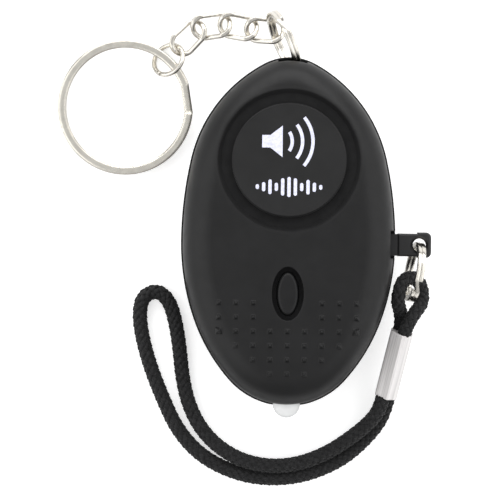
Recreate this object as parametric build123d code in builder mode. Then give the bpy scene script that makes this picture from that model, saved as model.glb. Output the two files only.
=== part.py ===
"""Personal safety alarm: an egg-shaped siren with a pull pin, torch, wrist strap and key chain.

Millimetres, +Z up. The alarm lies on its back: X runs to the right across the case, Y towards
the key chain, and Z up through the front face. The origin is the middle of the flat on the back.
"""

import os
from math import cos, pi, radians, sin, sqrt, tan

from build123d import *

os.makedirs("parts", exist_ok=True)

overrun = 3.0           # how far a cut runs past what it cuts
clearance = 0.1         # between a moving piece and what guides it
seat_gap = 0.03         # between pieces that sit against each other

# Case, egg shaped, two shells
case_length = 64.3
case_width = 39.5
case_thickness = 19.0
waist_share = 0.47      # where the case is widest, as a share of its length from the lower end
parting_height = 9.0
wall = 1.6
front_step = 0.35       # the front shell is this much smaller all round than the rear shell
top_tip_radius = 9.85
top_turns = (28.0, 49.3)
bottom_tip_radius = 14.33
bottom_turns = (48.6, 21.8)
crown_radius = 270.0
front_rounding = 5.5
rear_rounding = 4.6
rear_flat_cut = 0.5     # the crowned back is cut flat this deep, so that it stands

# Speaker face and its disc
speaker_offset = 13.1   # from the middle of the case towards the chain
moat_outer_radius = 13.3
moat_inner_radius = 10.5
moat_depth = 1.3
moat_slope = 0.9        # how far the outer side of the moat leans out
disc_thickness = 1.1
disc_edge = 0.25
disc_proud = 0.15
speaker_seat_depth = 2.4

# Grip bumps below the speaker
bump_size = 1.25
bump_height = 0.4
bump_pitch_across = 3.15
bump_pitch_along = 2.6
bump_rows = ((-4, -3, -2, 2, 3, 4), (-4, -3, -2, 2, 3, 4), (-4, -3, -2, -1, 0, 1, 2, 3, 4),
             (-3, -2, -1, 0, 1, 2, 3), (-2, -1, 0, 1, 2), (-1, 0, 1))
bump_first_row = 13.1   # below the middle of the case

# Torch button and its switch
button_offset = 11.4    # below the middle of the case
button_width = 3.9
button_length = 7.9
button_groove = 1.0     # width of the groove round the button
button_groove_depth = 1.1
button_collar = 0.8     # wall round the guide of the button
button_collar_depth = 3.2
button_flange = 0.75    # how far the flange under the shell stands out
button_flange_thickness = 0.9
button_stem_radius = 1.2
button_travel = 0.4
button_edge = 0.6
switch_size = 6.0
switch_height = 3.5
plunger_radius = 1.7
plunger_height = 0.9

# Circuit board
board_gap = 2.0         # under the board
board_thickness = 1.2
board_margin = 4.3      # inside the widest line of the case
board_end = 1.2         # from the middle of the case towards the chain
board_post_radius = 1.2
board_post_pitch_across = 13.0
board_post_pitch_along = 16.0
chip_length = 4.9
chip_width = 3.9
chip_height = 1.5
coil_radius = 3.0
coil_core_radius = 1.6
coil_flange = 0.7
coil_height = 4.6

# Torch LED
led_radius = 2.5
led_flange_radius = 2.9
led_flange_thickness = 1.0
led_length = 8.6
led_proud = 2.1
lead_radius = 0.25
lead_pitch = 2.54
lead_reach = 1.4
led_rib = 1.2
led_scoop = 0.7         # the mouth round the LED is this much wider

# Piezo sounder
piezo_radius = 10.0
piezo_thickness = 0.3
ceramic_radius = 7.0
ceramic_thickness = 0.25
piezo_ledge = 0.9       # how far the plate rests on its ledge
piezo_chamber = 1.6     # air under the plate
piezo_rim = 1.2
bond_width = 0.8
bond_height = 0.5
sound_hole_radius = 0.8
sound_hole_ring = 4.2
sound_hole_count = 6
wire_radius = 0.35
wire_place = 7.3        # across, of the outer wire
wire_pitch = 2.3
wire_plate_drop = 3.8   # from the middle of the plate
wire_hump = 1.9
wire_landing = 0.6      # inside the board's end

# Button cells and their contacts
cell_radius = 5.8
cell_thickness = 5.4
cell_count = 3
cell_edge = 0.4
cell_offset = -1.7      # axis of the stack, from the middle of the case towards the chain
cell_lift = 0.2         # above the board
cell_end = 3.0          # right end of the stack
contact_thickness = 0.4
contact_width = 5.6
contact_height = 9.0
spring_room = 2.0

# Screws
screw_shares = ((-0.73, 0.194), (0.73, 0.194), (-0.527, -0.6), (0.527, -0.6))
screw_radius = 0.95
screw_length = 9.5
screw_head_radius = 1.8
screw_head_height = 1.2
screw_sink = 0.5        # the head lies this far inside the back
screw_boss_radius = 2.3
screw_slot = 0.5

# Pull pin
pin_offset = -2.2       # axis of the pin, from the middle of the case towards the chain
pin_reach = 26.35       # outer end, from the middle of the case
pin_tab_width = 4.2
pin_tab_thickness = 2.4
pin_tab_rounding = 1.0
pin_tab_edge = 0.4
pin_head_width = 4.7
pin_head_length = 2.6
pin_eye_radius = 1.2
pin_eye_edge = 0.45      # slope round both mouths of the eye
pin_eye_inset = 2.2     # centre of the eye from the outer end
pin_gap = 0.35          # between the tab and the case
pin_neck_width = 4.0
pin_neck_thickness = 2.0
pin_notch_depth = 1.0
pin_notch_width = 5.0
blade_root = 1.9
blade_tip = 0.8
blade_tip_place = 4.6   # inner end, from the middle of the case
pin_travel = 18.0

# Trip switch
leaf_thickness = 0.3
leaf_height = 1.8
leaf_bump_radius = 0.35
leaf_root_place = 5.4
leaf_contact_place = 14.4
leaf_end = 1.0          # past the contact
post_radius = 0.45
leaf_eye_wall = 0.35
post_top = 2.0          # above the pin's axis

# Lanyard passage at the upper end
passage_width = 5.4
passage_shift = -0.5    # the mouth of the passage follows the ring's heading
passage_room = 0.45     # each side of the ring, inside and outside
passage_block = 1.5     # wall round the passage

# Small split rings
small_ring_radius = 6.0
small_ring_face = 1.0   # across the wire, along the radius
small_ring_turn = 0.65  # thickness of one turn
turn_gap = 0.1
ring_jog_angle = 12.5   # half the angle over which the wire steps from turn to turn
ring_jog_place = 60.0   # degrees round the ring from its level diameter
anchor_side = -1.2      # centre of the anchor ring, across
anchor_out = 2.95       # and past the upper end of the case
anchor_heading = 113.6  # degrees from +X, of its level diameter
anchor_lean = 12.0
pin_ring_radius = 5.5
pin_ring_heading = 81.0
pin_ring_lean = 11.0

# Curb chain
link_wire = 1.0
link_length = 6.9       # between the middles of the wire at the two ends
link_width = 4.1
link_rise = 1.15        # the corners lie this far above and below the middle, before rounding
link_corner = 1.9
link_play = 0.85        # slack of each link, as the chain lies loose
link_thickness = 2.0    # across the two flattened faces
chain_hook_shares = (-0.1817, 0.3505, -0.8409)  # from the anchor ring's centre, of its radius
chain_angles = ((-3.99, 7.7, -0.89), (-10.41, 7.18, -0.1), (8.55, 5.6, 0), (45.82, 1.73, -4.28))

# Jump ring and key ring
jump_wire = 0.9
jump_radius = 3.05      # middle of the wire
jump_cut = 8.0          # degrees left open
jump_play = 0.05
jump_side_share = -0.086
jump_cut_place = 202.0  # degrees round the ring
jump_angles = (46.71, 3.21, -38.46)
key_ring_radius = 12.5
key_ring_face = 1.53
key_ring_turn = 1.0
key_play = 0.12         # from the middle of the key ring's wire to the jump ring's centre
key_jog_place = -40.0
key_heading = 48.3
key_tilt = 3.16

# Strap
cord_diameter = 2.9
loop_diameter = 2.75
crimp_top = (21.2, -18.26, 7.4)
crimp_bottom = (18.39, -30.1, 4.3)
crimp_width = 4.1
crimp_height = 6.1
crimp_side_share = 0.44
crimp_ridge = 0.3
crimp_rounding = 0.3
crimp_edge = 0.12
cord_spread = 1.0       # between the two cords in the crimp, across
cord_rise = 2.75        # and up
strap_lead = 2.6        # straight part of the strap where it leaves the crimp
loop_lead = 1.4         # and of the loop
strap_points = [
    (17.2, -35.2, 1.75), (14.1, -38.9, 1.55), (9.9, -42.4, 1.5), (3.61, -45.1, 1.5),
    (-2.84, -45.84, 1.5), (-9.12, -44.9, 1.5), (-15.6, -41.8, 1.5), (-20.1, -36.9, 1.5),
    (-22.75, -31.3, 1.5), (-25.02, -25.79, 1.5), (-26.6, -20.6, 1.5), (-27.4, -15.9, 1.5),
    (-26.9, -12.3, 1.5), (-24.1, -11.0, 1.5), (-21.8, -13.0, 1.5), (-20.6, -17.0, 1.5),
    (-19.8, -22.0, 1.5), (-19.3, -26.9, 1.5), (-18.2, -31.8, 1.8), (-16.0, -36.3, 2.4),
    (-12.6, -39.9, 2.9), (-8.2, -42.4, 3.1), (-2.87, -43.5, 3.1), (2.66, -42.9, 3.1),
    (8.0, -40.7, 3.2), (12.2, -37.8, 3.7), (15.3, -35.2, 4.45)]
loop_points = [
    (20.88, -14.42, 7.52), (20.12, -12.38, 11.41), (21.21, -8.16, 10.73), (24.28, -8.29, 7.58),
    (25.2, -12.52, 6.97), (23.32, -14.87, 9.33)]

# Places worked out from the sizes above
half_width = case_width / 2
case_top = case_length / 2
case_bottom = -case_length / 2
waist = case_bottom + waist_share * case_length
front_top = case_thickness
front_crown_centre = front_top - crown_radius
rear_crown_centre = crown_radius - rear_flat_cut
board_bottom = wall - rear_flat_cut + board_gap
board_top = board_bottom + board_thickness


def crown_height(x, y):
    """Height of the front face above the table at a place on it."""
    return front_crown_centre + sqrt(crown_radius**2 - x**2 - y**2)


def back_height(x, y):
    """Height of the crowned back above the table at a place on it."""
    return rear_crown_centre - sqrt(crown_radius**2 - x**2 - y**2)


def egg_radii(tip, turns, depth):
    """Shoulder and flank radii of one end, so that its arcs reach the waist upright."""
    a, b = radians(turns[0]), radians(turns[0] + turns[1])
    across = half_width - tip * sin(a)
    along = depth - tip * (1 - cos(a))
    reach, drop = sin(b) - sin(a), cos(a) - cos(b)
    rest = 1 - sin(b)
    flank = (along * reach - across * drop) / (cos(b) * reach - rest * drop)
    return (across - rest * flank) / reach, flank


def egg(inset):
    """Egg outline of the case, this far inside its widest line."""
    top_radii = egg_radii(top_tip_radius, top_turns, case_top - waist)
    low_radii = egg_radii(bottom_tip_radius, bottom_turns, waist - case_bottom)
    top_rest = 90 - sum(top_turns)
    low_rest = 90 - sum(bottom_turns)
    with BuildLine() as outline:
        tip = JernArc((0, case_top - inset), (1, 0), top_tip_radius - inset, -top_turns[0])
        shoulder = JernArc(tip @ 1, tip % 1, top_radii[0] - inset, -top_turns[1])
        flank = JernArc(shoulder @ 1, shoulder % 1, top_radii[1] - inset, -top_rest)
        hip = JernArc(flank @ 1, flank % 1, low_radii[1] - inset, -low_rest)
        lower = JernArc(hip @ 1, hip % 1, low_radii[0] - inset, -bottom_turns[1])
        heel = JernArc(lower @ 1, lower % 1, bottom_tip_radius - inset, -bottom_turns[0])
        Line(heel @ 1, tip @ 0)
    make_face(outline.edges())
    mirror(about=Plane.YZ)


def dome(inset, face, rounding):
    """Half of the case: egg sides from the parting line to a crowned face at this height."""
    up = 1 if face > parting_height else -1
    with BuildPart() as form:
        with BuildSketch(Plane.XY.offset(parting_height)):
            egg(inset)
        extrude(amount=up * (abs(face - parting_height) + overrun))
        crown = crown_radius - (front_top - face if up > 0 else face + rear_flat_cut)
        with Locations((0, 0, face - up * crown)):
            Sphere(crown, rotation=(0, 90 * up, 0), mode=Mode.INTERSECT)
        rim = form.faces().sort_by(Axis.Z)[-1 if up > 0 else 0].edges()
        fillet(rim, rounding)
    return form.part


def split_ring(radius, face, turn):
    """Split ring of two turns about Z, its step on +X."""
    low = -turn - turn_gap / 2
    high = turn_gap / 2
    with BuildPart() as ring:
        for level, start in ((low, ring_jog_angle), (high, ring_jog_angle)):
            with BuildSketch(Plane.XZ.rotated((0, 0, start))):
                with Locations((radius - face / 2, level + turn / 2)):
                    Rectangle(face, turn)
            revolve(axis=Axis.Z, revolution_arc=360 - 2 * ring_jog_angle)
        for level, angle in ((low, -ring_jog_angle), (high, ring_jog_angle)):
            with BuildSketch(Plane.XZ.rotated((0, 0, angle))):
                with Locations((radius - face / 2, level + turn / 2)):
                    Rectangle(face, turn)
        loft(ruled=True)
    return ring.part


def route_radii(points):
    """Radius of each arc of a cord: as large as its two runs allow."""
    radii = []
    for before, corner, after in zip(points, points[1:], points[2:]):
        arriving, leaving = Vector(corner) - Vector(before), Vector(after) - Vector(corner)
        half_turn = radians(arriving.get_angle(leaving)) / 2
        radii.append(0.45 * min(arriving.length, leaving.length) / tan(half_turn))
    return radii


def cord(points, diameter, name):
    """Round cord along straight runs joined by arcs."""
    radii = route_radii(points)
    with BuildPart() as tube:
        with BuildLine() as route:
            FilletPolyline(*points, radius=radii)
        with BuildSketch(Plane(origin=route.wires()[0] @ 0, z_dir=route.wires()[0] % 0)):
            Circle(diameter / 2)
        sweep()
    length = route.wires()[0].length
    expected = pi * diameter**2 / 4 * length
    print(name, "length", round(length, 1), "volume ratio",
          round(tube.part.volume / expected, 4), "radii", [round(r, 1) for r in radii])
    return tube.part


# Case shells
speaker_face = crown_height(0, speaker_offset)
speaker_plane = Plane(
    origin=(0, speaker_offset, speaker_face),
    x_dir=(1, 0, 0),
    z_dir=(0, speaker_offset, speaker_face - front_crown_centre))
speaker_axis = Axis(speaker_plane.origin, speaker_plane.z_dir)
speaker_section = Plane(
    origin=speaker_plane.origin, x_dir=(1, 0, 0), z_dir=-speaker_plane.y_dir)
front_outer = dome(front_step, front_top, front_rounding)
front_hollow = dome(front_step + wall, front_top - wall, front_rounding - wall)
rear_outer = dome(0, -rear_flat_cut, rear_rounding)
rear_hollow = dome(wall, wall - rear_flat_cut, rear_rounding - wall)
pin_height = parting_height
led_axis = parting_height
ring_centre = Vector(anchor_side, case_top + anchor_out, parting_height)
ring_middle = small_ring_radius - small_ring_face / 2

board_low = case_bottom - led_proud + led_length - led_flange_thickness
button_face = crown_height(0, button_offset)
collar_bottom = button_face - button_collar_depth
cell_axis = board_top + cell_lift + cell_radius
stack_left = cell_end - cell_count * cell_thickness
piezo_seat = back_height(0, speaker_offset) + wall + piezo_chamber
screw_places = [(x * half_width, y * case_top) for x, y in screw_shares]
level_near = Vector(1, 0, 0).rotate(Axis.Z, anchor_heading)
passage_centre = ring_centre - level_near * ring_middle
passage_place = passage_centre.X + passage_shift
passage_plane = Plane(
    origin=(passage_place, ring_centre.Y, ring_centre.Z), x_dir=(0, 1, 0), z_dir=(1, 0, 0))
passage_inner = (small_ring_radius - small_ring_face) * abs(level_near.Y) - passage_room
passage_outer = small_ring_radius + passage_room
blade_low = pin_offset - blade_root / 2
blade_high = pin_offset + blade_root / 2
tab_start = half_width + pin_gap
pin_plane = Plane(origin=(0, pin_offset, pin_height), x_dir=(0, 1, 0), z_dir=(1, 0, 0))
cell_plane = Plane(origin=(0, cell_offset, cell_axis), x_dir=(0, 1, 0), z_dir=(1, 0, 0))
eye = Vector(pin_reach - pin_eye_inset, pin_offset, pin_height)


# Openings that both shells share: the LED's mouth, the pin's slot and the lanyard passage
with BuildPart() as openings:
    with BuildSketch(Plane(origin=(0, board_low, led_axis), z_dir=(0, -1, 0))):
        Circle(led_radius + clearance)
    extrude(amount=board_low - case_bottom + overrun)
    with BuildSketch(Plane(origin=(0, case_bottom + wall / 2, led_axis), z_dir=(0, -1, 0))):
        Circle(led_radius + clearance + led_scoop)
    extrude(amount=overrun)
    with BuildSketch(pin_plane.offset(half_width - wall - overrun)):
        Rectangle(pin_neck_width + 2 * clearance, pin_neck_thickness + 2 * clearance)
    extrude(amount=wall + 2 * overrun)
    with BuildSketch(passage_plane):
        Circle(passage_outer)
        Circle(passage_inner, mode=Mode.SUBTRACT)
    extrude(amount=passage_width / 2, both=True)

# Solid upper end of the case that the lanyard passage runs through
with BuildPart() as lanyard_block:
    block_low = ring_centre.Y - passage_outer - passage_block
    with BuildSketch(Plane.XY):
        with Locations((passage_place, block_low)):
            Rectangle(passage_width + 2 * passage_block, case_top - block_low,
                      align=(Align.CENTER, Align.MIN))
    extrude(amount=case_thickness)

with BuildPart() as front_shell:
    add(front_outer)
    add(front_hollow, mode=Mode.SUBTRACT)
    with BuildSketch(speaker_plane.offset(-speaker_seat_depth)):
        Circle(moat_outer_radius + wall / 2)
    extrude(amount=speaker_seat_depth)
    with BuildSketch(Plane.XY.offset(collar_bottom)):
        with Locations((0, -button_offset)):
            Ellipse(button_width / 2 + clearance + button_collar,
                    button_length / 2 + clearance + button_collar)
    extrude(amount=button_collar_depth)
    with BuildSketch(Plane.XY.offset(parting_height)):
        with Locations(*screw_places):
            Circle(screw_boss_radius)
        with Locations((0, board_low - led_rib / 2 - seat_gap)):
            Rectangle(2 * led_flange_radius + 2 * led_rib, led_rib)
    extrude(amount=front_top - parting_height)
    add(lanyard_block.part)
    add(front_outer, mode=Mode.INTERSECT)
    # The moat and the seat of the disc
    with BuildSketch(speaker_section):
        with BuildLine():
            Polyline(
                (moat_inner_radius, overrun),
                (moat_inner_radius, -moat_depth),
                (moat_outer_radius - moat_slope, -moat_depth),
                (moat_outer_radius + moat_slope * overrun / moat_depth, overrun),
                close=True)
        make_face()
        with BuildLine():
            Polyline(
                (0, overrun), (0, disc_proud - disc_thickness),
                (moat_inner_radius, disc_proud - disc_thickness), (moat_inner_radius, overrun),
                close=True)
        make_face()
    revolve(axis=speaker_axis, mode=Mode.SUBTRACT)
    # The torch button's groove and guide
    with BuildSketch(Plane.XY.offset(button_face - button_groove_depth)):
        with Locations((0, -button_offset)):
            Ellipse(button_width / 2 + button_groove, button_length / 2 + button_groove)
    extrude(amount=button_groove_depth + overrun, mode=Mode.SUBTRACT)
    with BuildSketch(Plane.XY.offset(collar_bottom - overrun)):
        with Locations((0, -button_offset)):
            Ellipse(button_width / 2 + clearance, button_length / 2 + clearance)
    extrude(amount=button_collar_depth + overrun, mode=Mode.SUBTRACT)
    # Pilot holes for the screws
    with BuildSketch(Plane.XY.offset(parting_height)):
        with Locations(*screw_places):
            Circle(screw_radius + seat_gap)
    extrude(amount=screw_length / 2, mode=Mode.SUBTRACT)
    add(openings.part, mode=Mode.SUBTRACT)
    # The notch round the root of the pin
    with BuildSketch(Plane.XY.offset(parting_height)):
        with Locations((half_width - pin_notch_depth, pin_offset)):
            Rectangle(overrun, pin_notch_width, align=(Align.MIN, Align.CENTER))
    extrude(amount=case_thickness, mode=Mode.SUBTRACT)
    # Grip bumps, small pyramids that follow the face
    for row, columns in enumerate(bump_rows):
        for column in columns:
            x = column * bump_pitch_across
            y = -bump_first_row - row * bump_pitch_along
            with BuildSketch(Plane.XY.offset(crown_height(x, y) - bump_height / 2)) as foot:
                with Locations((x, y)):
                    Rectangle(bump_size, bump_size)
            with BuildSketch(Plane.XY.offset(crown_height(x, y) + bump_height)) as tip:
                with Locations((x, y)):
                    Rectangle(bump_size / 5, bump_size / 5)
            loft(ruled=True)
front_shell.part.label = "front_shell"
export_step(front_shell.part, "parts/front_shell.step")

with BuildPart() as front_disc:
    with BuildSketch(speaker_section):
        with BuildLine():
            Polyline(
                (0, disc_proud - disc_thickness),
                (moat_inner_radius, disc_proud - disc_thickness),
                (moat_inner_radius, disc_proud - disc_edge),
                (moat_inner_radius - disc_edge, disc_proud),
                (0, disc_proud),
                close=True)
        make_face()
    revolve(axis=speaker_axis)
front_disc.part.label = "front_disc"
export_step(front_disc.part, "parts/front_disc.step")

with BuildPart() as rear_shell:
    add(rear_outer)
    add(rear_hollow, mode=Mode.SUBTRACT)
    with BuildSketch(Plane.XY):
        with Locations(*screw_places):
            Circle(screw_boss_radius)
        with Locations((0, board_low - led_rib / 2 - seat_gap)):
            Rectangle(2 * led_flange_radius + 2 * led_rib, led_rib)
    extrude(amount=parting_height)
    with BuildSketch(Plane.XY):
        with Locations((0, speaker_offset)):
            Circle(piezo_radius + clearance + piezo_rim)
            Circle(piezo_radius - piezo_ledge, mode=Mode.SUBTRACT)
    extrude(amount=piezo_seat)
    with BuildSketch(Plane.XY.offset(piezo_seat)):
        with Locations((0, speaker_offset)):
            Circle(piezo_radius + clearance + piezo_rim)
            Circle(piezo_radius + clearance, mode=Mode.SUBTRACT)
    extrude(amount=piezo_thickness + bond_height)
    with BuildSketch(Plane.XY):
        with Locations((0, -button_offset)):
            with GridLocations(board_post_pitch_across, board_post_pitch_along, 2, 2):
                Circle(board_post_radius)
    extrude(amount=board_bottom)
    add(lanyard_block.part)
    add(rear_outer, mode=Mode.INTERSECT)
    split(bisect_by=Plane.XY, keep=Keep.TOP)
    add(openings.part, mode=Mode.SUBTRACT)
    with BuildSketch(Plane.XY.offset(parting_height)):
        with Locations((half_width - pin_notch_depth, pin_offset)):
            Rectangle(overrun, pin_notch_width, align=(Align.MIN, Align.CENTER))
    extrude(amount=-pin_tab_thickness, mode=Mode.SUBTRACT)
    # Screw holes and the recesses of their heads
    for x, y in screw_places:
        with BuildSketch(Plane.XY):
            with Locations((x, y)):
                Circle(screw_radius + clearance)
        extrude(amount=parting_height, mode=Mode.SUBTRACT)
        with BuildSketch(Plane.XY):
            with Locations((x, y)):
                Circle(screw_head_radius + clearance)
        extrude(amount=back_height(x, y) + screw_sink + screw_head_height, mode=Mode.SUBTRACT)
    # Sound holes behind the piezo plate
    with BuildSketch(Plane.XY):
        with Locations((0, speaker_offset)):
            Circle(sound_hole_radius)
            with PolarLocations(sound_hole_ring, sound_hole_count):
                Circle(sound_hole_radius)
    extrude(amount=piezo_seat, mode=Mode.SUBTRACT)
rear_shell.part.label = "rear_shell"
export_step(rear_shell.part, "parts/rear_shell.step")

with BuildPart() as shell_screws:
    for x, y in screw_places:
        head_face = back_height(x, y) + screw_sink
        with BuildSketch(Plane.XY.offset(head_face)):
            with Locations((x, y)):
                Circle(screw_head_radius)
        extrude(amount=screw_head_height)
        with BuildSketch(Plane.XY.offset(head_face)):
            with Locations((x, y)):
                Rectangle(screw_head_radius, screw_slot)
                Rectangle(screw_slot, screw_head_radius)
        extrude(amount=screw_head_height / 2, mode=Mode.SUBTRACT)
        with BuildSketch(Plane.XY.offset(head_face + screw_head_height)):
            with Locations((x, y)):
                Circle(screw_radius)
        extrude(amount=screw_length)
shell_screws.part.label = "shell_screws"
export_step(shell_screws.part, "parts/shell_screws.step")

with BuildPart() as torch_button:
    with BuildSketch(Plane.XY.offset(collar_bottom - seat_gap)):
        with Locations((0, -button_offset)):
            Ellipse(button_width / 2, button_length / 2)
    extrude(amount=button_collar_depth)
    fillet(torch_button.faces().sort_by(Axis.Z)[-1].edges(), button_edge)
    with BuildSketch(Plane.XY.offset(collar_bottom - seat_gap)):
        with Locations((0, -button_offset)):
            Ellipse(button_width / 2 + button_flange, button_length / 2 + button_flange)
    extrude(amount=-button_flange_thickness)
    with BuildSketch(Plane.XY.offset(board_top + switch_height + plunger_height + seat_gap)):
        with Locations((0, -button_offset)):
            Circle(button_stem_radius)
    extrude(until=Until.NEXT)
torch_button.part.label = "torch_button"
export_step(torch_button.part, "parts/torch_button.step")

with BuildPart() as torch_switch:
    with BuildSketch(Plane.XY.offset(board_top)):
        with Locations((0, -button_offset)):
            RectangleRounded(switch_size, switch_size, plunger_radius / 4)
    extrude(amount=switch_height)
    with BuildSketch(Plane.XY.offset(board_top + switch_height)):
        with Locations((0, -button_offset)):
            Circle(plunger_radius + clearance)
    extrude(amount=-3 * button_travel, mode=Mode.SUBTRACT)
torch_switch.part.label = "torch_switch"
export_step(torch_switch.part, "parts/torch_switch.step")

with BuildPart() as switch_plunger:
    with BuildSketch(Plane.XY.offset(board_top + switch_height - button_travel)):
        with Locations((0, -button_offset)):
            Circle(plunger_radius)
    extrude(amount=button_travel + plunger_height)
    chamfer(switch_plunger.faces().sort_by(Axis.Z)[-1].edges(), plunger_radius / 8)
switch_plunger.part.label = "switch_plunger"
export_step(switch_plunger.part, "parts/switch_plunger.step")

with BuildPart() as circuit_board:
    with BuildSketch(Plane.XY.offset(board_bottom)):
        egg(board_margin)
        with Locations((0, board_low + seat_gap)):
            Rectangle(case_width, board_end - board_low, align=(Align.CENTER, Align.MIN),
                      mode=Mode.INTERSECT)
        with Locations(*screw_places):
            Circle(screw_boss_radius + clearance, mode=Mode.SUBTRACT)
    extrude(amount=board_thickness)
circuit_board.part.label = "circuit_board"
export_step(circuit_board.part, "parts/circuit_board.step")

with BuildPart() as driver_chip:
    with BuildSketch(Plane.XY.offset(board_top)):
        with Locations((-switch_size / 2 - chip_length, -button_offset)):
            Rectangle(chip_width, chip_length)
    extrude(amount=chip_height)
    chamfer(driver_chip.faces().sort_by(Axis.Z)[-1].edges(), chip_height / 6)
    with BuildSketch(Plane.XY.offset(board_top)):
        with Locations((-switch_size / 2 - chip_length, -button_offset)):
            with GridLocations(chip_width + chip_height, chip_length / 4, 2, 4):
                Rectangle(chip_height, chip_length / 10)
    extrude(amount=chip_height / 6)
driver_chip.part.label = "driver_chip"
export_step(driver_chip.part, "parts/driver_chip.step")

with BuildPart() as step_up_coil:
    coil_place = (switch_size / 2 + 1.6 * coil_radius, -button_offset)
    with BuildSketch(Plane.XY.offset(board_top)):
        with Locations(coil_place):
            Circle(coil_radius)
    extrude(amount=coil_flange)
    with BuildSketch(Plane.XY.offset(board_top + coil_flange)):
        with Locations(coil_place):
            Circle(coil_core_radius + coil_flange)
    extrude(amount=coil_height - 2 * coil_flange)
    with BuildSketch(Plane.XY.offset(board_top + coil_height - coil_flange)):
        with Locations(coil_place):
            Circle(coil_radius)
    extrude(amount=coil_flange)
step_up_coil.part.label = "step_up_coil"
export_step(step_up_coil.part, "parts/step_up_coil.step")

with BuildPart() as led_lens:
    led_tip = case_bottom - led_proud
    led_back = led_tip + led_length
    with BuildSketch(Plane.XY.offset(led_axis)):
        with BuildLine():
            Polyline((0, led_tip), (0, led_back), (led_flange_radius, led_back),
                     (led_flange_radius, led_back - led_flange_thickness),
                     (led_radius, led_back - led_flange_thickness), (led_radius, led_tip + led_radius))
            RadiusArc((led_radius, led_tip + led_radius), (0, led_tip), led_radius)
        make_face()
    revolve(axis=Axis((0, 0, led_axis), (0, 1, 0)))
led_lens.part.label = "led_lens"
export_step(led_lens.part, "parts/led_lens.step")

with BuildPart() as led_leads:
    for side in (-1, 1):
        x = side * lead_pitch / 2
        with BuildLine() as lead:
            FilletPolyline((x, led_back, led_axis), (x, led_back + lead_reach, led_axis),
                           (x, led_back + lead_reach, board_top), radius=2 * lead_radius)
        with BuildSketch(Plane(origin=(x, led_back, led_axis), z_dir=(0, 1, 0))):
            Circle(lead_radius)
        sweep(path=lead.wires()[0])
led_leads.part.label = "led_leads"
export_step(led_leads.part, "parts/led_leads.step")

with BuildPart() as piezo_plate:
    with BuildSketch(Plane.XY.offset(piezo_seat)):
        with Locations((0, speaker_offset)):
            Circle(piezo_radius)
    extrude(amount=piezo_thickness)
piezo_plate.part.label = "piezo_plate"
export_step(piezo_plate.part, "parts/piezo_plate.step")

with BuildPart() as piezo_ceramic:
    with BuildSketch(Plane.XY.offset(piezo_seat + piezo_thickness)):
        with Locations((0, speaker_offset)):
            Circle(ceramic_radius)
    extrude(amount=ceramic_thickness)
piezo_ceramic.part.label = "piezo_ceramic"
export_step(piezo_ceramic.part, "parts/piezo_ceramic.step")

with BuildPart() as piezo_bond:
    with BuildSketch(Plane.XY.offset(piezo_seat + piezo_thickness)):
        with Locations((0, speaker_offset)):
            Circle(piezo_radius + clearance)
            Circle(piezo_radius - bond_width, mode=Mode.SUBTRACT)
    extrude(amount=bond_height)
piezo_bond.part.label = "piezo_bond"
export_step(piezo_bond.part, "parts/piezo_bond.step")

with BuildPart() as piezo_wires:
    plate_top = piezo_seat + piezo_thickness
    for x, drop, start in ((wire_place, wire_plate_drop, plate_top),
                           (wire_place - wire_pitch, wire_plate_drop, plate_top + ceramic_thickness)):
        with BuildLine() as wire:
            FilletPolyline(
                (x, speaker_offset - drop, start), (x, speaker_offset - drop, start + wire_hump),
                (x, board_end - wire_landing, start + wire_hump),
                (x, board_end - wire_landing, board_top), radius=2 * wire_radius)
        with BuildSketch(Plane(origin=(x, speaker_offset - drop, start), z_dir=(0, 0, 1))):
            Circle(wire_radius)
        sweep(path=wire.wires()[0])
piezo_wires.part.label = "piezo_wires"
export_step(piezo_wires.part, "parts/piezo_wires.step")

with BuildPart() as button_cells:
    for number in range(cell_count):
        left = stack_left + number * cell_thickness
        with BuildSketch(cell_plane.offset(left)):
            Circle(cell_radius)
        extrude(amount=cell_thickness - cell_edge)
        with BuildSketch(cell_plane.offset(left + cell_thickness - cell_edge)):
            Circle(cell_radius - 2 * cell_edge)
        extrude(amount=cell_edge)
button_cells.part.label = "button_cells"
export_step(button_cells.part, "parts/button_cells.step")

with BuildPart() as flat_contact:
    with BuildSketch(Plane.XY.offset(board_top)):
        with Locations((cell_end, cell_offset)):
            Rectangle(contact_thickness, contact_width, align=(Align.MIN, Align.CENTER))
    extrude(amount=contact_height)
flat_contact.part.label = "flat_contact"
export_step(flat_contact.part, "parts/flat_contact.step")

# Leaf spring that presses the cells together, one bent strip
with BuildPart() as spring_contact:
    spring_back = stack_left - spring_room
    press = stack_left - contact_thickness / 2
    with BuildSketch(Plane.XZ.offset(-cell_offset)):
        with BuildLine() as strip:
            FilletPolyline(
                (spring_back, board_top),
                (spring_back, cell_axis + cell_radius - 2 * contact_thickness),
                (press, cell_axis + cell_radius / 2),
                (press, cell_axis - cell_radius / 2),
                (spring_back + 2 * contact_thickness, cell_axis - 2 * cell_radius / 3),
                radius=contact_thickness)
        trace(strip.wires()[0], line_width=contact_thickness)
    extrude(amount=contact_width / 2, both=True)
spring_contact.part.label = "spring_contact"
export_step(spring_contact.part, "parts/spring_contact.step")

# Trip switch: a leaf that the pin's blade holds off the fixed contact
leaf_axis = blade_high + seat_gap + leaf_bump_radius + leaf_thickness / 2
with BuildPart() as trip_terminals:
    with BuildSketch(Plane.XY.offset(board_top)):
        with Locations((leaf_contact_place + leaf_end, blade_low - seat_gap)):
            Rectangle(leaf_contact_place + leaf_end - leaf_root_place - 4 * leaf_bump_radius,
                      leaf_thickness, align=(Align.MAX, Align.MAX))
    extrude(amount=pin_height + leaf_height / 2 - board_top)
    with BuildSketch(Plane.XY.offset(board_top)):
        with Locations((leaf_root_place, leaf_axis)):
            Circle(post_radius)
    extrude(amount=pin_height + post_top - board_top)
trip_terminals.part.label = "trip_terminals"
export_step(trip_terminals.part, "parts/trip_terminals.step")

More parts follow.
